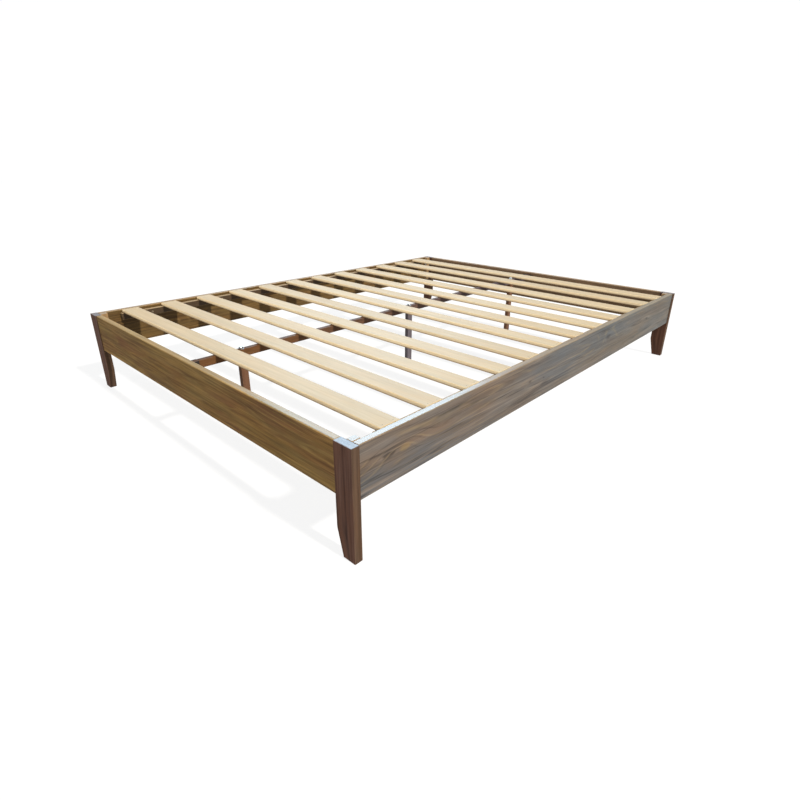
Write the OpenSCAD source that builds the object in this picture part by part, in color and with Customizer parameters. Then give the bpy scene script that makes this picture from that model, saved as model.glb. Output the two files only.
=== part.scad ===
// Slatted bed frame on flat-board corner legs. All sizes are in millimetres.
// X runs across the bed, +Y points to the head end and Z is up. The origin is
// on the floor, in the middle of the frame.

/* [Frame] */
// Width across the outer faces of the legs
frame_w = 1580; // [1000:10:1700]
// Length across the outer faces of the legs
frame_l = 2092; // [1900:2:2200]
// Height of the legs, rails and slats above the floor
frame_h = 314; // [280:1:380]

/* [Rails] */
// Depth of the four rail boards
rail_h = 145; // [130:1:160]
// Thickness of the rail boards
rail_t = 22; // [20:1:26]
// How far the rails are set back behind the outer faces of the legs
reveal = 3; // [1:0.5:5]

/* [Corner legs] */
// Width of a leg board
leg_w = 62; // [56:1:90]
// Width that a leg tapers to at the floor
leg_foot_w = 42; // [30:1:50]
// Height at which the taper starts
taper_h = 80; // [40:1:100]

/* [Slats] */
// Number of slats, an even number so that a gap lies in the middle
slat_count = 12; // [8:2:14]
// Width of a slat
slat_w = 67; // [56:1:76]
// Thickness of a slat
slat_t = 13; // [12:1:18]
// Gap between an end rail and the nearest slat
end_gap = 87.5; // [60:0.5:110]
// Play between each slat end and the side rail
slat_play = 1; // [0.5:0.5:3]

/* [Battens] */
// Width of the batten that the ledgers, centre rail, centre legs and blocks are cut from
batten_w = 20; // [18:1:24]
// Height of that batten
batten_h = 26; // [24:1:32]
// How far a ledger runs past the outermost slats
ledger_overrun = 8; // [2:1:20]
// Distance from the outermost slats to the axis of the outer centre legs
centre_leg_offset = 30; // [16:1:34]
// How far a corner block stops above the lower edge of the rails
block_lift = 4; // [2:1:10]

/* [Fasteners] */
// Diameter of a dowel
dowel_d = 10; // [8:1:12]
// Length of a dowel
dowel_l = 60; // [40:2:64]
// Thread diameter of the corner bolts
bolt_d = 6; // [5:1:6]
// Length of a corner bolt under its head
bolt_l = 40; // [36:1:42]
// Diameter of the coach screws in the centre legs
coach_d = 8; // [6:1:8]
// Length of a coach screw under its head
coach_l = 65; // [55:1:80]
// Shank diameter of the wood screws
screw_d = 4; // [3.5:0.5:4.5]
// Length of the wood screws in the blocks and ledgers
screw_l = 35; // [30:1:38]
// Shank diameter of the slat nails
nail_d = 2; // [1.5:0.5:2.5]
// Length of a slat nail
nail_l = 30; // [24:1:34]

/* [Hidden] */
$fn = 48;

// Ends of the frame, and the faces that the inside corners share
half_w = frame_w / 2;
half_l = frame_l / 2;
leg_t = rail_t + reveal;
inner_x = half_w - reveal - rail_t;
inner_y = half_l - leg_t;
rail_end_x = half_w - leg_w;
rail_z = frame_h - rail_h;
rail_mid_z = rail_z + rail_h / 2;
end_rail_mid_y = half_l - reveal - rail_t / 2;

// Slats, and the battens that carry them
slat_z = frame_h - slat_t;
slat_l = 2 * (inner_x - slat_play);
slat_pitch = (2 * (inner_y - end_gap) - slat_w) / (slat_count - 1);
batten_z = slat_z - batten_h;
batten_mid_x = inner_x - batten_w / 2;
ledger_half_l = inner_y - end_gap + ledger_overrun;
centre_leg_y = inner_y - end_gap - slat_w - centre_leg_offset;
centre_leg_ys = [-centre_leg_y, 0, centre_leg_y];
block_h = rail_h - block_lift;
block_mid_y = inner_y - batten_h / 2;

// Play round every fastener in its hole, on the diameter
hole_play = 0.2;
// Room left past the end of a fastener in a blind hole
end_room = 1;
// Overlap of a cutting tool past the face that it opens
cut = 1;

// Dowels between the corner legs and the end rails
dowel_step = 48;
dowel_zs = [for (i = [-1:1]) rail_mid_z + i * dowel_step];
dowel_chamfer = 1;

// Corner bolts, their washers and the inserts in the legs
bolt_zs = [for (i = [-1, 1]) rail_mid_z + i * 32];
bolt_head_d = 10;
bolt_head_h = 6;
bolt_socket_af = 5;
bolt_socket_h = 3;
bolt_washer_d = 12.5;
bolt_washer_t = 1.6;
insert_d = 9;
insert_l = 13;

// Countersunk wood screws in the blocks and ledgers
screw_head_d = 8;
screw_head_h = 2.4;
screw_tip_l = 5;
block_screw_zs = [for (i = [-1:1]) rail_mid_z + i * 53];
ledger_screw_ys = [for (i = [0:2:slat_count - 2]) (i - (slat_count - 2) / 2) * slat_pitch];

// Slat nails: two over each ledger and one over the centre rail
nail_head_d = 3.2;
nail_head_t = 1;
nail_tip_l = 3;
nail_spread = 18;
nail_spots = [
    for (x = [-batten_mid_x, batten_mid_x], y = [-nail_spread, nail_spread]) [x, y],
    [0, 0]
];

// Coach screws that hold the centre legs
coach_af = 13;
coach_head_h = 5.3;
coach_washer_d = 19;
coach_washer_t = 2;
coach_tip_l = 8;

// Steel hangers that carry the ends of the centre rail
hanger_t = 1.5;
hanger_l = 30;
hanger_flange = 18;
hanger_screw_x = batten_w / 2 + hanger_t + hanger_flange / 2;
hanger_screw_z = batten_z + batten_h / 2;
hanger_screw_l = 18;
pan_head_d = 7.5;
pan_head_h = 2.4;

// Stains and metals
dark_stain = [0.34, 0.24, 0.19];
rail_stain = [0.45, 0.36, 0.26];
pale_wood = [0.91, 0.84, 0.70];
batten_stain = [0.40, 0.30, 0.21];
dowel_wood = [0.85, 0.72, 0.52];
zinc = [0.78, 0.79, 0.80];
brass = [0.80, 0.66, 0.36];
dark_steel = [0.27, 0.24, 0.22];

CORNERS = [
    ["foot_left", -1, -1], ["foot_right", 1, -1],
    ["head_left", -1, 1], ["head_right", 1, 1]
];
SIDES = [["left", -1], ["right", 1]];
ENDS = [["foot", -1], ["head", 1]];
CENTRE_LEGS = ["centre_leg_foot", "centre_leg_middle", "centre_leg_head"];
FASTENERS = [
    "corner_dowels", "corner_bolts", "corner_washers", "leg_inserts",
    "block_screws", "ledger_screws", "slat_nails", "hanger_screws",
    "coach_screws", "coach_washers"
];
function slat_name(i) = str("slat_", i < 9 ? "0" : "", i + 1);

function slat_y(i) = (i - (slat_count - 1) / 2) * slat_pitch;

// ---------- placing ----------

// Shapes for a corner, a side or an end are drawn at the head right of the
// frame and mirrored to the corner, side or end that the signs name.
module to_corner(sx, sy) {
    mirror([sx < 0 ? 1 : 0, 0, 0])
        mirror([0, sy < 0 ? 1 : 0, 0])
            children();
}

module to_side(sx) { to_corner(sx, 1) children(); }

module to_end(sy) { to_corner(1, sy) children(); }

// Turns a shape that points down -Z so that it points along +X or +Y
module along_x() { rotate([0, -90, 0]) children(); }

module along_y() { rotate([90, 0, 0]) children(); }

// ---------- fasteners ----------

module wood_screw(length) {
    translate([0, 0, -screw_head_h])
        cylinder(h = screw_head_h, d1 = screw_d, d2 = screw_head_d);
    translate([0, 0, -length + screw_tip_l])
        cylinder(h = length - screw_tip_l - screw_head_h, d = screw_d);
    translate([0, 0, -length])
        cylinder(h = screw_tip_l, d1 = screw_d / 4, d2 = screw_d);
}

module wood_screw_hole(length) {
    translate([0, 0, -screw_head_h])
        cylinder(h = screw_head_h, d1 = screw_d + hole_play, d2 = screw_head_d + hole_play);
    translate([0, 0, -length - end_room])
        cylinder(h = length + end_room, d = screw_d + hole_play);
    cylinder(h = cut, d = screw_head_d + hole_play);
}

module pan_screw() {
    cylinder(h = pan_head_h, d1 = pan_head_d, d2 = pan_head_d * 0.7);
    translate([0, 0, -hanger_screw_l + screw_tip_l])
        cylinder(h = hanger_screw_l - screw_tip_l, d = screw_d);
    translate([0, 0, -hanger_screw_l])
        cylinder(h = screw_tip_l, d1 = screw_d / 4, d2 = screw_d);
}

module nail() {
    translate([0, 0, -nail_head_t])
        cylinder(h = nail_head_t, d = nail_head_d);
    translate([0, 0, -nail_l + nail_tip_l])
        cylinder(h = nail_l - nail_tip_l - nail_head_t, d = nail_d);
    translate([0, 0, -nail_l])
        cylinder(h = nail_tip_l, d1 = nail_d / 4, d2 = nail_d);
}

module nail_hole() {
    translate([0, 0, -nail_head_t])
        cylinder(h = nail_head_t + cut, d = nail_head_d + hole_play);
    translate([0, 0, -nail_l - end_room])
        cylinder(h = nail_l + end_room, d = nail_d + hole_play);
}

module dowel() {
    shank_l = dowel_l - 2 * dowel_chamfer;
    cylinder(h = shank_l, d = dowel_d, center = true);
    for (s = [0, 1])
        mirror([0, 0, s])
            translate([0, 0, shank_l / 2])
                cylinder(h = dowel_chamfer, d1 = dowel_d, d2 = dowel_d - 2 * dowel_chamfer);
}

module dowel_hole() {
    cylinder(h = dowel_l + 2 * end_room, d = dowel_d + hole_play, center = true);
}

module socket_bolt() {
    difference() {
        cylinder(h = bolt_head_h, d = bolt_head_d);
        translate([0, 0, bolt_head_h - bolt_socket_h])
            cylinder(h = bolt_socket_h + cut, d = bolt_socket_af / cos(30), $fn = 6);
    }
    translate([0, 0, -bolt_l])
        cylinder(h = bolt_l, d = bolt_d);
}

module washer(outer_d, inner_d, thickness) {
    difference() {
        cylinder(h = thickness, d = outer_d);
        translate([0, 0, -cut])
            cylinder(h = thickness + 2 * cut, d = inner_d + hole_play);
    }
}

module coach_screw() {
    cylinder(h = coach_head_h, d = coach_af / cos(30), $fn = 6);
    translate([0, 0, -coach_l + coach_tip_l])
        cylinder(h = coach_l - coach_tip_l, d = coach_d);
    translate([0, 0, -coach_l])
        cylinder(h = coach_tip_l, d1 = coach_d / 4, d2 = coach_d);
}

// ---------- where fasteners go ----------

// Middle of each dowel in the head right corner
module at_dowels() {
    for (z = dowel_zs)
        translate([rail_end_x, end_rail_mid_y, z])
            along_x() children();
}

// Seat of each corner bolt's washer on the head right block
module at_corner_bolts() {
    for (z = bolt_zs)
        translate([batten_mid_x, inner_y - batten_h, z])
            along_y() children();
}

// Head of each screw in the head right block
module at_block_screws() {
    for (z = block_screw_zs)
        translate([inner_x - batten_w, block_mid_y, z])
            along_x() children();
}

// Head of each screw in the right ledger
module at_ledger_screws() {
    for (y = ledger_screw_ys)
        translate([inner_x - batten_w, y, batten_z + batten_h / 2])
            along_x() children();
}

// Top of each nail in the slat with index i
module at_nails(i) {
    for (p = nail_spots)
        translate([p[0], slat_y(i) + p[1], frame_h])
            children();
}

// Top of the centre rail over each centre leg
module at_coach_screws() {
    for (y = centre_leg_ys)
        translate([0, y, slat_z])
            children();
}

// Face of each flange of the head hanger
module at_hanger_screws() {
    for (x = [-hanger_screw_x, hanger_screw_x])
        translate([x, inner_y - hanger_t, hanger_screw_z])
            along_y() children();
}

// ---------- boards ----------

// Corner leg with a straight outer edge and a taper on its inner edge
module leg() {
    color(dark_stain)
        difference() {
            translate([0, half_l, 0])
                rotate([90, 0, 0])
                    linear_extrude(leg_t)
                        polygon([
                            [half_w, 0], [half_w, frame_h],
                            [half_w - leg_w, frame_h], [half_w - leg_w, taper_h],
                            [half_w - leg_foot_w, 0]
                        ]);
            at_dowels() dowel_hole();
            at_corner_bolts()
                translate([0, 0, -batten_h - insert_l - 3 * end_room])
                    cylinder(h = insert_l + 3 * end_room, d = insert_d + hole_play);
        }
}

// Foot or head rail, dowelled between two legs
module end_rail() {
    color(rail_stain)
        difference() {
            translate([-rail_end_x, half_l - reveal - rail_t, rail_z])
                cube([2 * rail_end_x, rail_t, rail_h]);
            for (s = [-1, 1])
                to_side(s) at_dowels() dowel_hole();
            at_hanger_screws()
                translate([0, 0, -hanger_screw_l - end_room])
                    cylinder(h = hanger_screw_l + end_room, d = screw_d + hole_play);
        }
}

// Side rail, butted between the inner faces of two legs
module side_rail() {
    color(rail_stain)
        difference() {
            translate([inner_x, -inner_y, rail_z])
                cube([rail_t, 2 * inner_y, rail_h]);
            for (s = [-1, 1])
                to_end(s) at_block_screws() wood_screw_hole(screw_l);
            at_ledger_screws() wood_screw_hole(screw_l);
        }
}

// Upright batten that ties a side rail to a leg
module corner_block() {
    color(rail_stain)
        difference() {
            translate([inner_x - batten_w, inner_y - batten_h, rail_z + block_lift])
                cube([batten_w, batten_h, block_h]);
            at_corner_bolts()
                translate([0, 0, -batten_h - cut])
                    cylinder(h = batten_h + 2 * cut, d = bolt_d + 3 * hole_play);
            at_block_screws() wood_screw_hole(screw_l);
        }
}

// Batten inside a side rail that the slat ends lie on
module ledger() {
    color(batten_stain)
        difference() {
            translate([inner_x - batten_w, -ledger_half_l, batten_z])
                cube([batten_w, 2 * ledger_half_l, batten_h]);
            at_ledger_screws() wood_screw_hole(screw_l);
            for (i = [0:slat_count - 1])
                at_nails(i) nail_hole();
        }
}

// Lengthwise batten under the middle of the slats
module centre_rail() {
    color(dark_stain)
        difference() {
            translate([-batten_w / 2, -inner_y, batten_z])
                cube([batten_w, 2 * inner_y, batten_h]);
            at_coach_screws()
                translate([0, 0, -batten_h - cut])
                    cylinder(h = batten_h + 2 * cut, d = coach_d + 3 * hole_play);
            for (i = [0:slat_count - 1])
                at_nails(i) nail_hole();
        }
}

// Square post from the floor to the centre rail
module centre_leg(y) {
    color(dark_stain)
        difference() {
            translate([-batten_w / 2, y - batten_h / 2, 0])
                cube([batten_w, batten_h, batten_z]);
            at_coach_screws()
                translate([0, 0, coach_washer_t - coach_l - end_room])
                    cylinder(h = coach_l, d = coach_d + hole_play);
        }
}

module slat(i) {
    color(pale_wood)
        difference() {
            translate([-slat_l / 2, slat_y(i) - slat_w / 2, slat_z])
                cube([slat_l, slat_w, slat_t]);
            at_nails(i) nail_hole();
        }
}

// ---------- hardware ----------

// Folded steel shoe: a seat, two cheeks and two flanges against the end rail
module hanger() {
    cheek_x = batten_w / 2;
    flange_x = cheek_x + hanger_t + hanger_flange;
    side_h = batten_h + hanger_t;
    color(dark_steel)
        difference() {
            union() {
                translate([-cheek_x - hanger_t, inner_y - hanger_l, batten_z - hanger_t])
                    cube([2 * (cheek_x + hanger_t), hanger_l, hanger_t]);
                for (s = [-1, 1])
                    to_side(s) {
                        translate([cheek_x, inner_y - hanger_l, batten_z - hanger_t])
                            cube([hanger_t, hanger_l, side_h]);
                        translate([cheek_x, inner_y - hanger_t, batten_z - hanger_t])
                            cube([flange_x - cheek_x, hanger_t, side_h]);
                    }
            }
            at_hanger_screws()
                translate([0, 0, -hanger_t - cut])
                    cylinder(h = hanger_t + 2 * cut, d = screw_d + hole_play);
        }
}

module corner_dowels() {
    color(dowel_wood)
        for (c = CORNERS)
            to_corner(c[1], c[2]) at_dowels() dowel();
}

module corner_bolts() {
    color(zinc)
        for (c = CORNERS)
            to_corner(c[1], c[2]) at_corner_bolts()
                translate([0, 0, bolt_washer_t]) socket_bolt();
}

module corner_washers() {
    color(zinc)
        for (c = CORNERS)
            to_corner(c[1], c[2]) at_corner_bolts()
                washer(bolt_washer_d, bolt_d, bolt_washer_t);
}

module leg_inserts() {
    color(brass)
        for (c = CORNERS)
            to_corner(c[1], c[2]) at_corner_bolts()
                translate([0, 0, -batten_h - insert_l])
                    washer(insert_d, bolt_d, insert_l);
}

module block_screws() {
    color(dark_steel)
        for (c = CORNERS)
            to_corner(c[1], c[2]) at_block_screws() wood_screw(screw_l);
}

module ledger_screws() {
    color(dark_steel)
        for (s = SIDES)
            to_side(s[1]) at_ledger_screws() wood_screw(screw_l);
}

module slat_nails() {
    color(dark_steel)
        for (i = [0:slat_count - 1])
            at_nails(i) nail();
}

module hanger_screws() {
    color(dark_steel)
        for (e = ENDS)
            to_end(e[1]) at_hanger_screws() pan_screw();
}

module coach_screws() {
    color(zinc)
        at_coach_screws()
            translate([0, 0, coach_washer_t]) coach_screw();
}

module coach_washers() {
    color(zinc)
        at_coach_screws()
            washer(coach_washer_d, coach_d, coach_washer_t);
}

// ---------- nodes ----------

for (c = CORNERS) {
    to_corner(c[1], c[2]) leg();
    to_corner(c[1], c[2]) corner_block();
}
for (e = ENDS) {
    to_end(e[1]) end_rail();
    to_end(e[1]) hanger();
}
for (s = SIDES) {
    to_side(s[1]) side_rail();
    to_side(s[1]) ledger();
}
centre_rail();
for (i = [0:len(CENTRE_LEGS) - 1])
    centre_leg(centre_leg_ys[i]);
for (i = [0:slat_count - 1])
    slat(i);
corner_dowels();
corner_bolts();
corner_washers();
leg_inserts();
block_screws();
ledger_screws();
slat_nails();
hanger_screws();
coach_screws();
coach_washers();
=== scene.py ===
import math

import bpy
import numpy as np
from mathutils import Matrix, Vector


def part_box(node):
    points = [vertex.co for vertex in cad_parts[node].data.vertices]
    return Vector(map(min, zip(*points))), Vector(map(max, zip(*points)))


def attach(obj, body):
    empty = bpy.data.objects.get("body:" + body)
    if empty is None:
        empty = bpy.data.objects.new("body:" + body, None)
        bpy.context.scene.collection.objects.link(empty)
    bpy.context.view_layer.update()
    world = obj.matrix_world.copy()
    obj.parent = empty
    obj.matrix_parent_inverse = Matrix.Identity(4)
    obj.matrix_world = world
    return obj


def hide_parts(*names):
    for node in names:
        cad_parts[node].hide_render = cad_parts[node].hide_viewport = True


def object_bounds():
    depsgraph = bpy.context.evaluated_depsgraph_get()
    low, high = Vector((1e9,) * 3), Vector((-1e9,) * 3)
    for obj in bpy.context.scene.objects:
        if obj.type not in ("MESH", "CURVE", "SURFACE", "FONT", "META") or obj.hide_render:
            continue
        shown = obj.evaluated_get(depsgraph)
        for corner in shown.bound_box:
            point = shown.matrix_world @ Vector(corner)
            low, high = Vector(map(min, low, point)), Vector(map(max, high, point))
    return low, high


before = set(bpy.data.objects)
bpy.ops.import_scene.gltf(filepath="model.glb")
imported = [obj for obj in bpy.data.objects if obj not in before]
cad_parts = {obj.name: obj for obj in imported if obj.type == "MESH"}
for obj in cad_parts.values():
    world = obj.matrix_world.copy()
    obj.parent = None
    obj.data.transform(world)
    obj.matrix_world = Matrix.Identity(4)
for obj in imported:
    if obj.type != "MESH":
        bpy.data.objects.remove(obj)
cad_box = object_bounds()
MM = 0.001
scene = bpy.context.scene


# ---------- shader graphs ----------


class Graph:
    """Short calls for building one material's node tree."""

    def __init__(self, name):
        self.material = bpy.data.materials.new(name)
        self.material.use_nodes = True
        self.tree = self.material.node_tree
        self.tree.nodes.clear()
        self.shader = self.node("ShaderNodeBsdfPrincipled")
        output = self.node("ShaderNodeOutputMaterial")
        self.tree.links.new(self.shader.outputs["BSDF"], output.inputs["Surface"])

    def node(self, kind, **settings):
        made = self.tree.nodes.new(kind)
        for key, value in settings.items():
            setattr(made, key, value)
        return made

    def feed(self, socket, value):
        if isinstance(value, bpy.types.NodeSocket):
            self.tree.links.new(value, socket)
        elif isinstance(value, (tuple, list)) and socket.type == "RGBA":
            socket.default_value = (*value, 1.0)[:4]
        else:
            socket.default_value = value

    def attribute(self, name, vector=True):
        made = self.node("ShaderNodeAttribute", attribute_name=name)
        return made.outputs["Vector" if vector else "Fac"]

    def math(self, operation, *values, clamp=False):
        made = self.node("ShaderNodeMath", operation=operation, use_clamp=clamp)
        for socket, value in zip(made.inputs, values):
            self.feed(socket, value)
        return made.outputs[0]

    def vector(self, operation, *values):
        made = self.node("ShaderNodeVectorMath", operation=operation)
        for socket, value in zip(made.inputs, values):
            self.feed(socket, value)
        return made.outputs["Value" if operation == "LENGTH" else "Vector"]

    def split(self, value):
        made = self.node("ShaderNodeSeparateXYZ")
        self.feed(made.inputs[0], value)
        return made.outputs[0], made.outputs[1], made.outputs[2]

    def joined(self, *values):
        made = self.node("ShaderNodeCombineXYZ")
        for socket, value in zip(made.inputs, values):
            self.feed(socket, value)
        return made.outputs[0]

    def noise(self, place, stretch, detail=2.0, roughness=0.5):
        made = self.node("ShaderNodeTexNoise", noise_dimensions="3D")
        self.feed(made.inputs["Vector"], self.vector("MULTIPLY", place, stretch))
        made.inputs["Scale"].default_value = 1.0
        made.inputs["Detail"].default_value = detail
        made.inputs["Roughness"].default_value = roughness
        return made.outputs[0]

    def times(self, *values):
        product = values[0]
        for value in values[1:]:
            product = self.math("MULTIPLY", product, value)
        return product

    def span(self, value, low, high, to_low=0.0, to_high=1.0):
        """A smooth step: to_low where value is low, to_high where it is high."""
        made = self.node("ShaderNodeMapRange", interpolation_type="SMOOTHSTEP")
        for name, amount in zip(
            ("Value", "From Min", "From Max", "To Min", "To Max"),
            (value, low, high, to_low, to_high),
        ):
            self.feed(made.inputs[name], amount)
        return made.outputs[0]

    def ramp(self, value, stops):
        made = self.node("ShaderNodeValToRGB")
        self.feed(made.inputs[0], value)
        elements = made.color_ramp.elements
        while len(elements) < len(stops):
            elements.new(0.5)
        for element, (place, level) in zip(elements, stops):
            element.position = place
            element.color = (level, level, level, 1.0)
        return made.outputs[0]

    def mix(self, share, first, second, blend="MIX"):
        made = self.node("ShaderNodeMix", data_type="RGBA", blend_type=blend)
        for socket, value in zip(
            (made.inputs[0], made.inputs[6], made.inputs[7]), (share, first, second)
        ):
            self.feed(socket, value)
        return made.outputs[2]

    def bump(self, height, strength, distance, under=None):
        made = self.node("ShaderNodeBump")
        made.inputs["Strength"].default_value = strength
        made.inputs["Distance"].default_value = distance
        self.feed(made.inputs["Height"], height)
        if under is not None:
            self.feed(made.inputs["Normal"], under)
        return made.outputs[0]


# One growth ring from its inner to its outer side: how dark it is, and how golden
RING_PROFILE = [(0.0, 0.02), (0.60, 0.08), (0.84, 0.34), (0.94, 1.0), (1.0, 0.02)]
GLOW_PROFILE = [(0.0, 0.0), (0.48, 0.0), (0.66, 1.0), (0.80, 0.0), (1.0, 0.0)]

# Noise in the timber, in cycles per metre along a board, across it and through it
WIDE_WARP = (1.7, 9.0, 9.0)
NARROW_WARP = (9.0, 42.0, 42.0)
RING_FADE = (1.1, 14.0, 14.0)
FIBRE = (16.0, 620.0, 620.0)
PORE = (30.0, 1500.0, 1500.0)
STREAK = (1.5, 62.0, 62.0)
PATCH = (3.4, 15.0, 15.0)
CLOUD = (1.3, 7.0, 7.0)
DARK_VEIN = (0.9, 31.0, 31.0)
LIGHT_VEIN = (0.9, 23.0, 23.0)
BLOTCH = (4.5, 110.0, 110.0)
HUE_DRIFT = (6.0, 34.0, 34.0)

# Relief of the fibres, pores and rings
FIBRE_DEPTH = 0.25 * MM
PORE_DEPTH = 0.12 * MM
RING_DEPTH = 0.18 * MM

# A distance from a knot along the board counts this much of one across it, so
# the rings part round a knot in a long oval
KNOT_STRETCH = 0.42
# Half the length over which a board's painted sheen runs from one end to the other
SHEEN_RUN_REACH = 0.9
# How far below a board's middle the painted shade on its narrow faces is full
PAINTED_SHADE_DEPTH = 5.0 * MM
# Tints of the dullest and the freshest board
BOARD_DULL = (0.96, 0.94, 0.92)
BOARD_FRESH = (1.03, 1.02, 1.0)
COAT_ROUGHNESS = 0.33


def growth(g, place, roamed, ring_mm, warp_mm, knots):
    """Where each point lies in its growth ring, from 0 to 1, and the knots' cores."""
    x, y, z = g.split(place)
    pith_y, pith_z, drift = g.split(g.attribute("pith"))
    off_y = g.math("SUBTRACT", y, pith_y)
    off_z = g.math("SUBTRACT", z, pith_z)
    squares = g.math("ADD", g.math("POWER", off_y, 2.0), g.math("POWER", off_z, 2.0))
    radius = g.math("ADD", g.math("SQRT", squares), g.times(x, drift))
    wide = g.math("SUBTRACT", g.noise(roamed, WIDE_WARP, 2.0), 0.5)
    narrow = g.math("SUBTRACT", g.noise(roamed, NARROW_WARP, 3.0, 0.6), 0.5)
    radius = g.math("ADD", radius, g.times(wide, warp_mm * 4 * MM))
    radius = g.math("ADD", radius, g.times(narrow, warp_mm * 0.6 * MM))
    cores = []
    for knot_x, knot_y, size, push, knot_tone in knots:
        apart = g.vector("SUBTRACT", place, (knot_x, knot_y, 0.0))
        apart = g.vector("MULTIPLY", apart, (KNOT_STRETCH, 1.0, 0.0))
        apart = g.vector("LENGTH", apart)
        apart = g.math("ADD", apart, g.times(narrow, size * 2.2))
        swell = g.math("POWER", g.math("DIVIDE", apart, size * 3.0), 2.0)
        swell = g.math("EXPONENT", g.times(swell, -1.0))
        radius = g.math("ADD", radius, g.times(swell, push))
        cores.append((g.span(apart, size, size * 0.5), knot_tone))
    return g.math("FRACT", g.math("DIVIDE", radius, ring_mm * MM)), cores


def wood(
    name,
    early,
    late,
    tint,
    arris,
    side=None,
    end_tone=None,
    cool=None,
    shade=None,
    glow=None,
    sheen_run=None,
    ring_mm=5.5,
    ring_share=0.6,
    warp_mm=9.0,
    streak_share=0.35,
    tint_share=0.6,
    fibre_share=0.35,
    vein_share=0.0,
    arris_share=0.6,
    mottle=0.10,
    tinge=0.02,
    rough=0.5,
    specular=0.4,
    film=None,
    knots=(),
    bump=0.25,
):
    """Timber cut from a log: rings about a pith, knots, fibres, streaks and stain.

    early and late colour the pale and dark wood of a ring, tint the stained patches,
    arris the worn edges, side the narrow faces, end_tone the end grain (on the legs a
    pale bluish painted sheen), cool the greyer clouds, shade a painted shade on the
    lower half of the narrow faces and glow the golden band beside a ring. run
    multiplies the colour at the board's low end and its high end: a painted sheen
    that makes the board bluer towards its high end.
    mottle is the strength of the small blotches, and tinge that of the hue's drift.
    film is ("end" or "flank", weight): where the finish has built up into a gloss.
    """
    g = Graph(name)
    place = g.attribute("grain")
    tone = g.attribute("tone", False)
    roamed = g.vector("ADD", place, g.attribute("seed"))
    x, _, z = g.split(place)
    end, flank, _ = g.split(g.attribute("zone"))
    turn, cores = growth(g, place, roamed, ring_mm, warp_mm, knots)
    ring = g.ramp(turn, RING_PROFILE)

    fibre = g.noise(roamed, FIBRE, 2.0, 0.6)
    pore = g.noise(roamed, PORE, 1.0)
    streak = g.noise(roamed, STREAK, 3.0, 0.6)
    patch = g.noise(roamed, PATCH, 4.0, 0.6)
    dark = tuple(c * 0.55 for c in late)
    light = tuple(min(1.0, c * 1.35) for c in early)

    # Rings, stain and streaks
    fade = g.span(g.noise(roamed, RING_FADE, 2.0), 0.34, 0.62, 0.35, 1.0)
    share = g.times(ring, ring_share, fade)
    colour = g.mix(share, early, late)
    colour = g.mix(g.times(g.span(patch, 0.36, 0.68), tint_share), colour, tint)
    if cool is not None:
        cloud = g.noise(roamed, CLOUD, 2.0)
        colour = g.mix(g.span(cloud, 0.44, 0.62, 0.0, 0.7), colour, cool)
    streaked = g.times(g.span(streak, 0.46, 0.74), streak_share)
    colour = g.mix(streaked, colour, dark)
    streaked = g.times(g.span(streak, 0.42, 0.24), streak_share * 0.8)
    colour = g.mix(streaked, colour, light)
    if vein_share:
        for stretch, vein_tone in ((DARK_VEIN, dark), (LIGHT_VEIN, light)):
            vein = g.math("SUBTRACT", g.noise(roamed, stretch, 3.0, 0.5), 0.5)
            vein = g.span(g.math("ABSOLUTE", vein), 0.020, 0.005)
            thin = g.times(vein, g.span(patch, 0.66, 0.46), vein_share)
            colour = g.mix(thin, colour, vein_tone)
    colour = g.mix(g.span(fibre, 0.58, 0.80, 0.0, fibre_share), colour, dark)
    colour = g.mix(g.span(fibre, 0.40, 0.22, 0.0, fibre_share * 0.65), colour, light)
    for core, knot_tone in cores:
        colour = g.mix(g.times(core, 0.6), colour, knot_tone or dark)

    # End grain, narrow faces and worn edges
    if end_tone is None:
        colour = g.mix(g.times(end, 0.55), colour, dark)
    else:
        colour = g.mix(g.times(end, 0.85), colour, end_tone)
    if side is not None:
        grained = g.mix(g.times(share, 0.45), side, tuple(c * 0.6 for c in side))
        colour = g.mix(g.times(flank, 0.8), colour, grained)
    worn = g.times(g.attribute("edge", False), g.span(patch, 0.30, 0.55, 0.45, 1.0))
    colour = g.mix(g.times(worn, arris_share), colour, arris)
    # Painted shade: the lower half of the narrow faces turns to the shade colour, for the
    # shadow under the eased lower edge
    if shade is not None:
        narrow_face = g.span(flank, 0.1, 0.6, 0.0, 0.9)
        low = g.times(g.span(z, 0.0, -PAINTED_SHADE_DEPTH), narrow_face)
        colour = g.mix(low, colour, shade)
    if glow is not None:
        band = g.times(g.ramp(turn, GLOW_PROFILE), g.span(patch, 0.40, 0.60), 0.55)
        colour = g.mix(band, colour, glow)

    # Painted sheen along the board, and drift of the colour over small areas and from
    # board to board
    # Painted sheen: the colour turns bluer towards the board's high end, as light
    # reflected at grazing angles does
    if sheen_run is not None:
        along = g.mix(g.span(x, -SHEEN_RUN_REACH, SHEEN_RUN_REACH), sheen_run[0], sheen_run[1])
        colour = g.mix(1.0, colour, along, "MULTIPLY")
    warm = (1.0 + tinge, 1.0, 1.0 - tinge)
    chill = (1.0 - tinge, 1.0, 1.0 + tinge)
    drifted = g.span(g.noise(roamed, HUE_DRIFT, 3.0, 0.6), 0.36, 0.64)
    colour = g.mix(1.0, colour, g.mix(drifted, warm, chill), "MULTIPLY")
    blotch = g.noise(roamed, BLOTCH, 4.0, 0.64)
    lifted = g.span(blotch, 0.32, 0.68, 1.0 - mottle, 1.0 + mottle)
    colour = g.vector("MULTIPLY", colour, g.joined(lifted, lifted, lifted))
    faded = g.mix(tone, BOARD_DULL, BOARD_FRESH)
    colour = g.mix(1.0, colour, faded, "MULTIPLY")
    g.feed(g.shader.inputs["Base Color"], colour)

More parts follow.
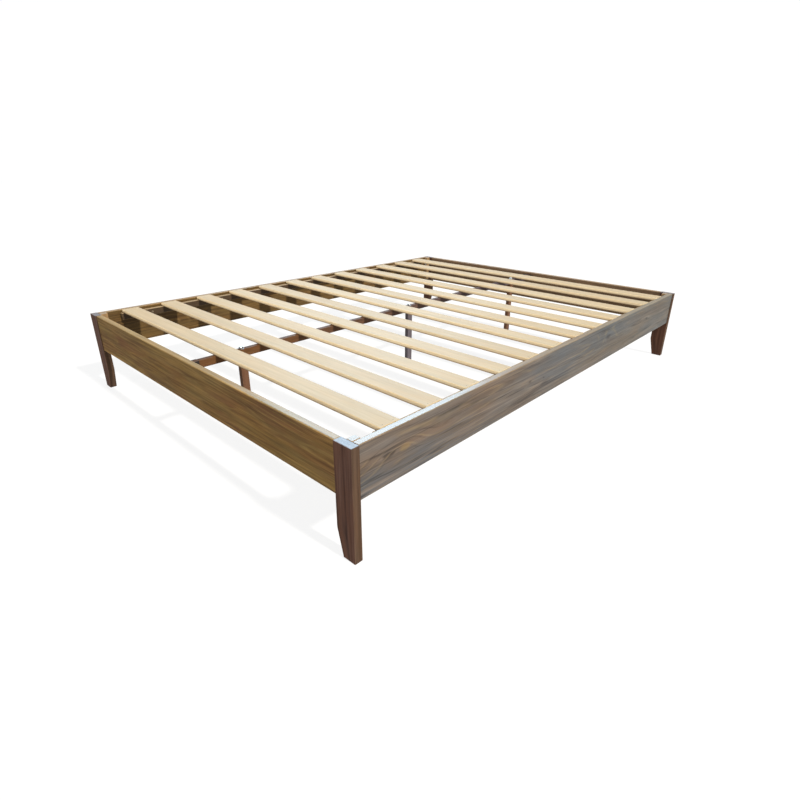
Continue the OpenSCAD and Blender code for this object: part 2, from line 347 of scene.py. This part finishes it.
    roughness = g.math("ADD", g.times(fibre, 0.22), rough - 0.11)
    roughness = g.math("ADD", roughness, g.times(ring, -0.06), clamp=True)
    g.feed(g.shader.inputs["Roughness"], roughness)
    g.shader.inputs["Specular IOR Level"].default_value = specular
    if film is not None:
        where, weight = film
        face = {"end": end, "flank": flank}[where]
        g.feed(g.shader.inputs["Coat Weight"], g.times(face, weight))
        g.shader.inputs["Coat Roughness"].default_value = COAT_ROUGHNESS
    normal = g.bump(fibre, bump, FIBRE_DEPTH)
    normal = g.bump(pore, bump * 0.5, PORE_DEPTH, normal)
    normal = g.bump(ring, bump * 0.8, RING_DEPTH, normal)
    g.feed(g.shader.inputs["Normal"], normal)
    return g.material


# Noise on metal, in cycles per metre, and the relief of its brushing
METAL_CLOUD = (90.0, 90.0, 90.0)
BRUSHING = (500.0, 3000.0, 3000.0)
BRUSH_DEPTH = 0.05 * MM


def metal(name, base, rough):
    """Plated steel or brass: brushed, with faint clouding."""
    g = Graph(name)
    place = g.node("ShaderNodeTexCoord").outputs["Object"]
    cloud = g.noise(place, METAL_CLOUD, 4.0, 0.6)
    brush = g.noise(place, BRUSHING, 2.0)
    low = tuple(c * 0.72 for c in base)
    g.feed(g.shader.inputs["Base Color"], g.mix(g.span(cloud, 0.35, 0.7), base, low))
    g.shader.inputs["Metallic"].default_value = 1.0
    roughness = g.span(brush, 0.3, 0.7, rough * 0.75, rough * 1.35)
    g.feed(g.shader.inputs["Roughness"], roughness)
    g.feed(g.shader.inputs["Normal"], g.bump(brush, 0.15, BRUSH_DEPTH))
    return g.material


# Knots of each rail: place along and across the board, radius, push on the rings,
# all in metres, and colour, or None for the darkest colour of the rail
AMBER = (0.150, 0.098, 0.040)
SIDE_KNOTS = [
    (-0.933, 0.009, 0.011, 0.010, None),
    (-0.872, 0.006, 0.010, 0.012, AMBER),
    (-0.292, 0.004, 0.006, 0.008, None),
    (-0.205, -0.006, 0.005, 0.006, None),
    (0.295, 0.024, 0.012, 0.014, None),
    (0.705, 0.014, 0.007, 0.010, None),
]
FOOT_KNOTS = [(0.300, -0.058, 0.009, 0.008, (0.070, 0.030, 0.014))]
LEFT_KNOTS = [
    (-0.62, -0.020, 0.009, 0.014, None),
    (0.16, 0.030, 0.007, 0.010, None),
    (0.74, -0.010, 0.010, 0.014, None),
]
HEAD_KNOTS = [
    (-0.41, 0.012, 0.008, 0.012, None),
    (0.22, -0.030, 0.010, 0.014, None),
]
# Rings of the narrow stock that the blocks, battens and centre legs are cut from
BATTEN_STOCK = {"ring_mm": 4.0, "warp_mm": 3.0}
# Finish of the dark parts under the slats
CENTRE_FINISH = {
    "ring_share": 0.5,
    "streak_share": 0.5,
    "specular": 0.06,
    "arris_share": 0.4,
}

side_wood = wood(
    "side_rail_wood",
    early=(0.104, 0.082, 0.064),
    late=(0.026, 0.019, 0.016),
    tint=(0.093, 0.061, 0.038),
    arris=(0.190, 0.145, 0.100),
    side=(0.259, 0.175, 0.088),
    cool=(0.073, 0.073, 0.073),
    ring_mm=9.0,
    ring_share=0.8,
    streak_share=0.12,
    fibre_share=0.6,
    vein_share=0.6,
    rough=0.46,
    specular=0.14,
    film=("flank", 0.5),
    knots=SIDE_KNOTS,
    tint_share=0.7,
    mottle=0.18,
    # Painted sheen: the right rail turns darker and bluer towards the head end
    sheen_run=((0.93, 0.96, 1.02), (0.70, 0.81, 0.89)),
    glow=(0.172, 0.125, 0.068),
    tinge=0.05,
)
left_wood = wood(
    "left_rail_wood",
    early=(0.092, 0.056, 0.0185),
    late=(0.029, 0.017, 0.008),
    tint=(0.066, 0.034, 0.0125),
    arris=(0.280, 0.185, 0.080),
    side=(0.240, 0.160, 0.078),
    ring_mm=7.0,
    streak_share=0.45,
    vein_share=0.4,
    rough=0.6,
    specular=0.10,
    film=("flank", 0.4),
    knots=LEFT_KNOTS,
    mottle=0.24,
    glow=(0.121, 0.077, 0.029),
    tinge=0.04,
)
foot_wood = wood(
    "foot_rail_wood",
    early=(0.102, 0.063, 0.022),
    late=(0.039, 0.019, 0.010),
    tint=(0.073, 0.035, 0.017),
    arris=(0.300, 0.195, 0.075),
    side=(0.296, 0.213, 0.093),
    cool=(0.114, 0.077, 0.028),
    ring_mm=6.0,
    ring_share=0.5,
    streak_share=0.42,
    tint_share=0.95,
    vein_share=0.45,
    rough=0.66,
    specular=0.02,
    film=("flank", 0.4),
    knots=FOOT_KNOTS,
    mottle=0.22,
    glow=(0.145, 0.098, 0.036),
    tinge=0.04,
)
head_wood = wood(
    "head_rail_wood",
    early=(0.113, 0.070, 0.038),
    late=(0.045, 0.026, 0.017),
    tint=(0.090, 0.049, 0.026),
    arris=(0.240, 0.160, 0.075),
    side=(0.250, 0.165, 0.085),
    ring_mm=6.5,
    streak_share=0.45,
    vein_share=0.4,
    rough=0.6,
    specular=0.12,
    film=("flank", 0.4),
    knots=HEAD_KNOTS,
    glow=(0.148, 0.101, 0.053),
)
leg_wood = wood(
    "leg_wood",
    early=(0.056, 0.030, 0.022),
    late=(0.020, 0.009, 0.008),
    tint=(0.046, 0.022, 0.014),
    arris=(0.092, 0.059, 0.039),
    side=(0.066, 0.041, 0.026),
    # Painted sheen: the legs' end grain is pale and bluish, for the gloss of light on
    # their tops
    end_tone=(0.150, 0.150, 0.172),
    ring_mm=4.0,
    ring_share=0.55,
    warp_mm=4.0,
    streak_share=0.5,
    fibre_share=0.55,
    vein_share=0.3,
    rough=0.62,
    specular=0.02,
    film=("end", 0.5),
    arris_share=0.35,
    mottle=0.24,
    tinge=0.05,
)
block_wood = wood(
    "block_wood",
    early=(0.24, 0.155, 0.075),
    late=(0.12, 0.072, 0.034),
    tint=(0.20, 0.12, 0.055),
    arris=(0.32, 0.22, 0.12),
    end_tone=(0.23, 0.185, 0.13),
    ring_share=0.5,
    rough=0.55,
    specular=0.2,
    film=("end", 0.5),
    **BATTEN_STOCK,
)
slat_wood = wood(
    "slat_wood",
    early=(0.432, 0.363, 0.247),
    late=(0.358, 0.279, 0.170),
    tint=(0.405, 0.323, 0.208),
    arris=(0.500, 0.375, 0.190),
    side=(0.560, 0.450, 0.285),
    # Painted shade along the lower half of the slats' long edges
    shade=(0.150, 0.086, 0.036),
    ring_mm=5.0,
    ring_share=0.45,
    warp_mm=6.0,
    streak_share=0.1,
    tint_share=0.45,
    fibre_share=0.14,
    rough=0.62,
    specular=0.22,
    bump=0.15,
    mottle=0.06,
)
ledger_wood = wood(
    "ledger_wood",
    # Dark stain with painted shade: the ledger's faces are darkened for the shadow under
    # the slats
    early=(0.046, 0.029, 0.016),
    late=(0.024, 0.014, 0.009),
    tint=(0.038, 0.022, 0.012),
    arris=(0.16, 0.11, 0.06),
    # Painted highlight: the ledger's narrow faces are pale, for the sheen on its top
    side=(0.36, 0.27, 0.16),
    end_tone=(0.27, 0.20, 0.12),
    ring_share=0.45,
    rough=0.6,
    specular=0.12,
    arris_share=0.4,
    **BATTEN_STOCK,
)
centre_wood = wood(
    "centre_wood",
    early=(0.100, 0.050, 0.022),
    late=(0.041, 0.019, 0.009),
    tint=(0.080, 0.035, 0.014),
    arris=(0.096, 0.053, 0.027),
    # Painted sheen: the centre rail turns bluish towards the head end
    sheen_run=((1.05, 1.0, 0.9), (0.72, 1.15, 3.0)),
    **BATTEN_STOCK,
    **CENTRE_FINISH,
)
prop_wood = wood(
    "centre_leg_wood",
    early=(0.116, 0.060, 0.036),
    late=(0.048, 0.023, 0.014),
    tint=(0.094, 0.043, 0.022),
    arris=(0.156, 0.091, 0.053),
    rough=0.6,
    **BATTEN_STOCK,
    **CENTRE_FINISH,
)
# Painted sheen: the middle centre leg is grey where the other centre legs are brown
sheen_grey_prop_wood = wood(
    "middle_leg_wood",
    early=(0.092, 0.080, 0.092),
    late=(0.044, 0.036, 0.042),
    tint=(0.078, 0.062, 0.070),
    arris=(0.120, 0.100, 0.100),
    rough=0.6,
    **BATTEN_STOCK,
    **CENTRE_FINISH,
)
dowel_wood = wood(
    "dowel_wood",
    early=(0.60, 0.45, 0.28),
    late=(0.46, 0.32, 0.18),
    tint=(0.55, 0.40, 0.24),
    arris=(0.60, 0.45, 0.28),
    ring_mm=2.5,
    rough=0.6,
    specular=0.3,
)
zinc_steel = metal("zinc_steel", (0.50, 0.50, 0.50), 0.36)
dull_steel = metal("dull_nail_steel", (0.30, 0.25, 0.18), 0.60)
dark_steel = metal("dark_strap_steel", (0.060, 0.050, 0.044), 0.50)
insert_brass = metal("insert_brass", (0.62, 0.46, 0.20), 0.30)


# ---------- boards ----------

X, Y, Z = 0, 1, 2
# Facets on each half of an eased edge
ARC_STEPS = 2
# Two measures this close are the same
NEARLY = 0.1 * MM
# How far a slat's middle may bow and sway, in millimetres
SLAT_BOW, SLAT_SWAY = 0.5, 0.4
rng = np.random.default_rng(842)


def stops(half, ease, cuts):
    """Grid lines across one axis of a board: its eased ends and cuts between them."""
    flat = half - ease
    bends = [math.radians(45.0 * k / ARC_STEPS) for k in range(ARC_STEPS + 1)]
    upper = [flat + ease * math.tan(bend) for bend in bends]
    inner = [flat * (2.0 * k / (cuts + 1) - 1.0) for k in range(1, cuts + 1)]
    return np.array([-u for u in reversed(upper)] + inner + upper)


def shell(counts):
    """Grid points on the surface of a box of grid lines, and the quads between them."""
    index, quads = {}, []

    def at(point):
        return index.setdefault(point, len(index))

    for axis in range(3):
        b, c = (axis + 1) % 3, (axis + 2) % 3
        for end in (0, counts[axis] - 1):
            for i in range(counts[b] - 1):
                for j in range(counts[c] - 1):
                    corners = []
                    for di, dj in ((0, 0), (1, 0), (1, 1), (0, 1)):
                        point = [0, 0, 0]
                        point[axis], point[b], point[c] = end, i + di, j + dj
                        corners.append(at(tuple(point)))
                    quads.append(corners if end else corners[::-1])
    return list(index), quads


def mesh_object(name, points, faces, normals=None, material=None, smooth=True):
    mesh = bpy.data.meshes.new(name)
    mesh.from_pydata([tuple(p) for p in points], [], faces)
    mesh.polygons.foreach_set("use_smooth", [smooth] * len(mesh.polygons))
    if normals is not None:
        mesh.normals_split_custom_set_from_vertices([tuple(n) for n in normals])
    if material is not None:
        mesh.materials.append(material)
    made = bpy.data.objects.new(name, mesh)
    scene.collection.objects.link(made)
    return made


def add_vector(mesh, name, values):
    layer = mesh.attributes.new(name, "FLOAT_VECTOR", "POINT")
    layer.data.foreach_set("vector", np.asarray(values, np.float32).ravel())


def add_value(mesh, name, values):
    layer = mesh.attributes.new(name, "FLOAT", "POINT")
    layer.data.foreach_set("value", np.asarray(values, np.float32))


def board(
    node, material, axes, ease, cuts, pith=None, end_ease=1.2, shape=None
):
    """An eased board in the box of a CAD node.

    axes are the world axes that run along it, across it and through it. ease and
    end_ease are the radii of its long and end edges, in millimetres. cuts is the
    number of grid lines between them. pith is where the log's middle lies across
    and through the board, and its drift along it. shape may bend the board.
    """
    low, high = (np.array(v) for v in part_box(node))
    middle, half = (low + high) / 2, (high - low) / 2
    radii = np.array([end_ease, ease, ease]) * MM
    lines = [stops(half[axes[k]], radii[k], cuts[k]) for k in range(3)]
    index, quads = shell([len(line) for line in lines])
    raw = np.array([[lines[k][point[k]] for k in range(3)] for point in index])
    flat = np.array([half[a] for a in axes]) - radii
    inner = np.clip(raw, -flat, flat)
    lean = (raw - inner) / radii
    lean /= np.linalg.norm(lean, axis=1)[:, None]
    local = inner + lean * radii
    normal = lean / radii
    normal /= np.linalg.norm(normal, axis=1)[:, None]
    grain = local.copy()
    if shape is not None:
        local, normal = shape(local, normal, half)
    points, normals = np.zeros_like(local), np.zeros_like(normal)
    for k, a in enumerate(axes):
        points[:, a] = local[:, k] + middle[a]
        normals[:, a] = normal[:, k]
    if np.linalg.det(np.eye(3)[list(axes)]) < 0:
        quads = [q[::-1] for q in quads]
    made = mesh_object(node + "_board", points, quads, normals, material)
    count = len(points)
    seed = rng.uniform(-20.0, 20.0, 3)
    if pith is None:
        spread = half[axes[1]]
        pith = (
            rng.uniform(-0.6, 0.6) * spread,
            -rng.uniform(0.015, 0.05) - half[axes[2]],
            rng.uniform(-0.012, 0.012),
        )
    add_vector(made.data, "grain", grain)
    add_vector(made.data, "seed", np.tile(seed, (count, 1)))
    add_vector(made.data, "pith", np.tile(pith, (count, 1)))
    add_value(made.data, "tone", np.full(count, rng.uniform(0.0, 1.0)))
    square = lean**2
    add_vector(made.data, "zone", square)
    add_value(made.data, "edge", 2 * (1.0 - square.max(1)).clip(0, 0.5))
    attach(made, "root")
    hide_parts(node)


def taper_of(node):
    """Height where a leg's taper starts, and the share of its width at the floor."""
    co = np.array([v.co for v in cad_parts[node].data.vertices])
    low, high = co.min(0), co.max(0)
    outer = high[X] if high[X] > 0 else low[X]
    reach = np.abs(co[:, X] - outer)
    foot = reach[co[:, Z] < low[Z] + NEARLY].max()
    wide = reach.max()
    start = co[reach > wide - NEARLY][:, Z].min()
    return start, foot / wide


def leg_shape(node, sign):
    """Narrows a leg board towards the floor, from its inner edge."""
    start, share = taper_of(node)

    def bend(local, normal, half):
        height = local[:, 0] + half[Z]
        fall = np.clip((start - height) / start, 0.0, None)
        scale = 1.0 - (1.0 - share) * fall
        slope = np.where(fall > 0, (1.0 - share) / start, 0.0)
        outer = sign * half[X]
        away = local[:, 1] - outer
        bent = local.copy()
        bent[:, 1] = outer + away * scale
        turned = normal.copy()
        turned[:, 1] = normal[:, 1] / scale
        turned[:, 0] = normal[:, 0] - normal[:, 1] * away * slope / scale
        turned /= np.linalg.norm(turned, axis=1)[:, None]
        return bent, turned

    return bend


def slat_shape(bow, sway):
    """Lifts a slat's middle by bow and moves it sideways by sway."""

    def bend(local, normal, half):
        reach = 1.0 - (local[:, 0] / half[X]) ** 2
        bent = local.copy()
        bent[:, 2] += bow * reach
        bent[:, 1] += sway * reach
        return bent, normal

    return bend


SIDES = (("left", -1), ("right", 1))
ENDS = ("foot", "head")

# Each rail's finish, axes, edge radius, cuts and pith
LONG_CUTS, SHORT_CUTS = (28, 3, 1), (22, 3, 1)
RAILS = (
    ("right", side_wood, (Y, Z, X), 3.0, LONG_CUTS, (0.035, -0.055, 0.020)),
    ("left", left_wood, (Y, Z, X), 3.0, LONG_CUTS, (-0.012, 0.055, -0.009)),
    ("foot", foot_wood, (X, Z, Y), 3.4, SHORT_CUTS, (0.010, 0.060, 0.006)),
    ("head", head_wood, (X, Z, Y), 3.0, SHORT_CUTS, (-0.015, -0.050, -0.008)),
)
for where, finish, axes, ease, cuts, pith in RAILS:
    board("rail_" + where, finish, axes, ease, cuts, pith)
for end in ENDS:
    for side, sign in SIDES:
        corner = f"{end}_{side}"
        leg = "leg_" + corner
        bend = leg_shape(leg, sign)
        board(leg, leg_wood, (Z, X, Y), 2.2, (31, 2, 1), shape=bend)
        block = "block_" + corner
        board(block, block_wood, (Z, X, Y), 1.6, (4, 1, 1))
for side, _ in SIDES:
    board("ledger_" + side, ledger_wood, (Y, Z, X), 1.6, (20, 1, 1))
board("centre_rail", centre_wood, (Y, Z, X), 1.8, (20, 1, 1))
for part in ("foot", "middle", "head"):
    stock = sheen_grey_prop_wood if part == "middle" else prop_wood
    board("centre_leg_" + part, stock, (Z, X, Y), 1.8, (6, 1, 1))
slats = [
    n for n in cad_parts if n.startswith("slat_") and n[5:].isdigit()
]
for node in sorted(slats):
    bow = rng.uniform(-SLAT_BOW, SLAT_BOW) * MM
    sway = rng.uniform(-SLAT_SWAY, SLAT_SWAY) * MM
    board(
        node,
        slat_wood,
        (X, Y, Z),
        ease=3.2,
        cuts=(16, 2, 1),
        end_ease=1.5,
        shape=slat_shape(bow, sway),
    )


# ---------- fasteners ----------


# Points of a CAD mesh this close are one point
WELD = 0.01 * MM


def islands(node):
    """Low and high corner of each separate solid in a CAD node, in a fixed order."""
    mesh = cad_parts[node].data
    co = np.array([v.co for v in mesh.vertices])
    parent = list(range(len(co)))
    first_at = {}
    for i, place in enumerate(np.round(co / WELD).astype(int)):
        parent[i] = first_at.setdefault(tuple(place), i)

    def top(i):
        while parent[i] != i:
            parent[i] = parent[parent[i]]
            i = parent[i]
        return i

    for edge in mesh.edges:
        one, other = (top(i) for i in edge.vertices)
        parent[one] = other
    groups = {}
    for i in range(len(co)):
        groups.setdefault(top(i), []).append(i)
    boxes = [(co[g].min(0), co[g].max(0)) for g in groups.values()]
    return sorted(boxes, key=lambda box: tuple(np.round(box[0] + box[1], 4)))


# In place of a row's number of sides: every second point of the row is pulled in
FLUTED = -1
FLUTE_REACH = 0.955


def turned(profile, steps, recess=None):
    """Points and faces of a shape turned about +Z.

    profile lists (radius, height, sides) in millimetres. A row has 0 sides if it is
    round, 6 if it is a hexagon whose flats are two radii apart, or FLUTED.
    recess(radius, angle) is how far a point is pushed down.
    """
    points, faces = [], []
    for radius, height, sides in profile:
        for k in range(steps):
            angle = 2 * math.pi * k / steps
            reach = radius
            if sides == 6:
                reach = radius / math.cos((angle % (math.pi / 3)) - math.pi / 6)
            elif sides == FLUTED:
                reach = radius * (FLUTE_REACH if k % 2 else 1.0)
            sink = recess(radius, angle) if recess else 0.0
            across = reach * math.cos(angle), reach * math.sin(angle)
            points.append((*across, height - sink))
    for row in range(len(profile) - 1):
        for k in range(steps):
            a, b = row * steps + k, row * steps + (k + 1) % steps
            faces.append((a, b, b + steps, a + steps))
    faces.append(tuple(range(steps))[::-1])
    last = (len(profile) - 1) * steps
    faces.append(tuple(last + k for k in range(steps)))
    return np.array(points), faces


def ring_of(outer, inner, thick, ease=0.35, steps=32):
    """A washer with eased rims, lying on z = 0. outer and inner are its radii."""
    outline = [
        (inner, ease),
        (inner + ease, 0.0),
        (outer - ease, 0.0),
        (outer, ease),
        (outer, thick - ease),
        (outer - ease, thick),
        (inner + ease, thick),
        (inner, thick - ease),
    ]
    points, faces = [], []
    for radius, height in outline:
        for k in range(steps):
            angle = 2 * math.pi * k / steps
            points.append((radius * math.cos(angle), radius * math.sin(angle), height))
    rows = len(outline)
    for row in range(rows):
        for k in range(steps):
            nxt = (k + 1) % steps
            below, above = row * steps, (row + 1) % rows * steps
            faces.append((below + k, below + nxt, above + nxt, above + k))
    return np.array(points), faces


def threaded(core, crest, low, high, pitch):
    """Profile rows of a thread's ridges from low to high."""
    rows = []
    for k in range(int((high - low) / pitch)):
        rows += [(core, low + k * pitch, 0), (crest, low + (k + 0.5) * pitch, 0)]
    return rows + [(core, high, 0)]


def cross_slot(reach, half_width, depth):
    """Recess of a cross-headed screw: how far in a point of the head is pushed."""

    def sink(radius, angle):
        arm = (angle + math.pi / 4) % (math.pi / 2) - math.pi / 4
        inside = radius < reach and abs(radius * math.sin(arm)) < half_width
        return depth * (1.0 - 0.5 * radius / reach) if inside else 0.0

    return sink


def scatter(node, material, shape, axis, seat_of):
    """A copy of a shape on every solid of a CAD node.

    seat_of(low, high, middle) gives the sign of the shape's +Z along the world axis,
    away from the wood, and where on that axis its z = 0 lies.
    """
    points, faces = shape
    all_points, all_faces = [], []
    for low, high in islands(node):
        middle = (low + high) / 2
        out = np.zeros(3)
        out[axis], seat = seat_of(low, high, middle)
        side = np.roll(out, 1)
        base = middle.copy()
        base[axis] = seat
        basis = np.stack([side, np.cross(out, side), out])
        start = len(all_points)
        all_points.extend(points * MM @ basis + base)
        all_faces.extend(tuple(start + i for i in face) for face in faces)
    made = mesh_object(
        node + "_set", all_points, all_faces, material=material, smooth=False
    )
    add_vector(made.data, "grain", np.roll(np.asarray(all_points), -axis, axis=1))
    for name in ("seed", "pith", "zone"):
        add_vector(made.data, name, np.zeros((len(all_points), 3)))
    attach(made, "root")
    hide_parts(node)


def inward(axis, head):
    """Seats of fasteners that face the bed's middle, with heads of this height."""

    def place(low, high, middle):
        sign = -1.0 if middle[axis] > 0 else 1.0
        tip = low[axis] if sign < 0 else high[axis]
        return sign, tip - sign * head * MM

    return place


def upward(head):
    """Seats of fasteners that face up, with heads of this height in millimetres."""

    def place(low, high, middle):
        return 1.0, high[Z] - head * MM

    return place


# Fasteners in millimetres, each with z = 0 at its seat, under the head
SOCKET_BOLT = turned(
    [(0.6, -40.0, 0), (2.6, -39.4, 0)]
    + threaded(2.55, 2.95, -39.0, -14.0, 1.0)
    + [(2.95, -13.5, 0), (2.95, 0.0, 0), (4.6, 0.0, 0), (5.0, 0.5, 0), (5.0, 5.3, 0)]
    + [(4.4, 6.0, 0), (3.0, 6.0, 0), (2.5, 5.8, 6), (2.5, 3.1, 6), (0.9, 3.0, 0)],
    steps=36,
)
COACH_SCREW = turned(
    [(0.3, -65.0, 0)]
    + threaded(2.9, 3.95, -60.0, -25.0, 3.0)
    + [(3.95, -24.0, 0), (3.95, 0.0, 0), (6.3, 0.0, 0), (6.5, 0.4, 6), (6.5, 4.5, 6)]
    + [(6.1, 5.3, 0), (2.0, 5.3, 0)],
    steps=36,
)
BOLT_WASHER = ring_of(6.25, 3.1, 1.6)
COACH_WASHER = ring_of(9.5, 4.1, 2.0)
CROSS = cross_slot(2.1, 0.55, 1.1)
# Radii of the rings of points in a screw head's top, which the cross slot pushes in
HEAD_RINGS = (2.6, 2.05, 1.6, 1.15, 0.7, 0.3)
FLUSH_SCREW = turned(
    [(0.2, -35.0, 0)]
    + threaded(1.35, 1.95, -30.0, -9.0, 1.6)
    + [(1.95, -8.0, 0), (1.95, -2.4, 0), (3.8, -0.25, 0), (3.9, -0.1, 0)]
    + [(r, 0.0, 0) for r in HEAD_RINGS],
    steps=32,
    recess=CROSS,
)
PAN_SCREW = turned(
    [(0.2, -18.0, 0)]
    + threaded(1.35, 1.95, -13.0, -3.0, 1.6)
    + [(1.95, 0.0, 0), (3.6, 0.0, 0), (3.75, 0.4, 0), (3.4, 1.5, 0), (2.9, 2.0, 0)]
    + [(r, 2.4 - 0.05 * r * r, 0) for r in HEAD_RINGS],
    steps=32,
    recess=CROSS,
)
NAIL = turned(
    [(0.2, -30.0, 0), (0.95, -27.0, 0), (0.95, -1.0, 0), (1.5, -0.6, 0), (1.6, 0.02, 0)]
    + [(1.45, 0.16, 0), (0.9, 0.22, 0), (0.3, 0.24, 0)],
    steps=16,
)
DOWEL = turned(
    [(4.0, -30.0, 0), (4.9, -29.0, FLUTED), (5.0, -28.0, FLUTED), (5.0, 28.0, FLUTED)]
    + [(4.9, 29.0, FLUTED), (4.0, 30.0, 0)],
    steps=36,
)

scatter("corner_dowels", dowel_wood, DOWEL, X, inward(X, 30.0))
scatter("corner_bolts", zinc_steel, SOCKET_BOLT, Y, inward(Y, 6.0))
scatter("corner_washers", zinc_steel, BOLT_WASHER, Y, inward(Y, 1.6))
scatter("block_screws", dull_steel, FLUSH_SCREW, X, inward(X, -0.1))
scatter("ledger_screws", dull_steel, FLUSH_SCREW, X, inward(X, -0.1))
scatter("hanger_screws", dull_steel, PAN_SCREW, Y, inward(Y, 2.4))
scatter("coach_screws", zinc_steel, COACH_SCREW, Z, upward(5.3))
scatter("coach_washers", zinc_steel, COACH_WASHER, Z, upward(2.0))
scatter("slat_nails", dull_steel, NAIL, Z, upward(0.0))

for node, material in (
    ("leg_inserts", insert_brass),
    ("hanger_foot", dark_steel),
    ("hanger_head", dark_steel),
):
    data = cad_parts[node].data
    data.materials.clear()
    data.materials.append(material)


# ---------- floor, light, camera ----------

FLOOR_REACH = 30.0
FLOOR_PALE = (0.125, 0.125, 0.125)
FLOOR_DULL = (0.115, 0.115, 0.115)
FLOOR_GLOW = 0.85
floor = mesh_object(
    "floor",
    [
        (x * FLOOR_REACH, y * FLOOR_REACH, 0.0)
        for x, y in ((-1, -1), (1, -1), (1, 1), (-1, 1))
    ],
    [(0, 1, 2, 3)],
)
g = Graph("floor_paint")
spot = g.node("ShaderNodeTexCoord").outputs["Object"]
haze = g.noise(spot, (1.5, 1.5, 1.5), 3.0)
g.feed(g.shader.inputs["Base Color"], g.mix(haze, FLOOR_PALE, FLOOR_DULL))
g.shader.inputs["Roughness"].default_value = 0.8
g.shader.inputs["Emission Color"].default_value = (1.0, 1.0, 1.0, 1.0)
g.shader.inputs["Emission Strength"].default_value = FLOOR_GLOW
g.shader.inputs["Specular IOR Level"].default_value = 0.1
floor.data.materials.append(g.material)

# The sky is brightest at the horizon. Between these heights of a unit direction, its
# strength falls from SKY_HORIZON to SKY_TOP.
SKY_FROM, SKY_TO = 0.27, 0.50
SKY_HORIZON, SKY_TOP = 1.02, 0.33
SKY_COLOUR = (0.985, 0.99, 1.0, 1.0)
world = bpy.data.worlds.new("studio")
world.use_nodes = True
tree = world.node_tree
sky = tree.nodes.new("ShaderNodeTexCoord")
height = tree.nodes.new("ShaderNodeSeparateXYZ")
level = tree.nodes.new("ShaderNodeMapRange")
level.interpolation_type = "SMOOTHSTEP"
for socket, value in zip(level.inputs[1:5], (SKY_FROM, SKY_TO, SKY_HORIZON, SKY_TOP)):
    socket.default_value = value
tree.links.new(sky.outputs["Generated"], height.inputs[0])
tree.links.new(height.outputs[2], level.inputs[0])
tree.links.new(level.outputs[0], tree.nodes["Background"].inputs[1])
tree.nodes["Background"].inputs[0].default_value = SKY_COLOUR
scene.world = world
scene.view_settings.view_transform = "Standard"


def light(kind, name, direction, energy, colour):
    """A light that shines from a direction."""
    made = bpy.data.objects.new(name, bpy.data.lights.new(name, kind))
    made.data.energy = energy
    made.data.color = colour
    made.rotation_euler = Vector(direction).to_track_quat("Z", "Y").to_euler()
    scene.collection.objects.link(made)
    return made


# A bluish panel beyond the near corner, for the gloss on the tops of the legs
SHEEN_FROM = Vector((-0.74, 0.71, 0.60)).normalized()
SHEEN_AWAY = 4.0
low, high = cad_box
near_corner = Vector((high[0], low[1], high[2]))
sheen = light("AREA", "back_sheen", SHEEN_FROM, 165.0, (0.56, 0.80, 1.0))
sheen.data.shape = "RECTANGLE"
sheen.data.size, sheen.data.size_y = 2.2, 1.0
sheen.location = near_corner + SHEEN_FROM * SHEEN_AWAY
sheen.visible_diffuse = False

# The key casts the slats' shadows, and the fill lights the foot end softly
key = light("SUN", "key", (1.0, 0.08, 0.92), 5.5, (1.0, 0.95, 0.865))
key.data.angle = math.radians(3.5)
fill = light("SUN", "fill", (0.10, -1.0, 0.12), 2.9, (1.0, 0.95, 0.88))
fill.data.angle = math.radians(25.0)

# The camera's place in metres, and its angles in radians
VIEW_PLACE = (1.51678, -1.67031, 0.86448)
VIEW_YAW, VIEW_PITCH, VIEW_ROLL = 0.75176, 0.41006, 0.00746
SENSOR_MM, LENS_MM = 36.0, 23.1855
SHIFT_X, SHIFT_Y = -0.00105, -0.01107
forward = Vector(
    (
        -math.sin(VIEW_YAW) * math.cos(VIEW_PITCH),
        math.cos(VIEW_YAW) * math.cos(VIEW_PITCH),
        -math.sin(VIEW_PITCH),
    )
)
right = Vector((math.cos(VIEW_YAW), math.sin(VIEW_YAW), 0.0))
up = right.cross(forward)
roll_c, roll_s = math.cos(VIEW_ROLL), math.sin(VIEW_ROLL)
camera_x = roll_c * right + roll_s * up
camera_y = -roll_s * right + roll_c * up
camera = bpy.data.objects.new("camera", bpy.data.cameras.new("camera"))
turn = Matrix((camera_x, camera_y, -forward)).transposed().to_4x4()
camera.matrix_world = Matrix.Translation(VIEW_PLACE) @ turn
camera.data.sensor_width = SENSOR_MM
camera.data.lens = LENS_MM
camera.data.shift_x = SHIFT_X
camera.data.shift_y = SHIFT_Y
scene.collection.objects.link(camera)
scene.camera = camera
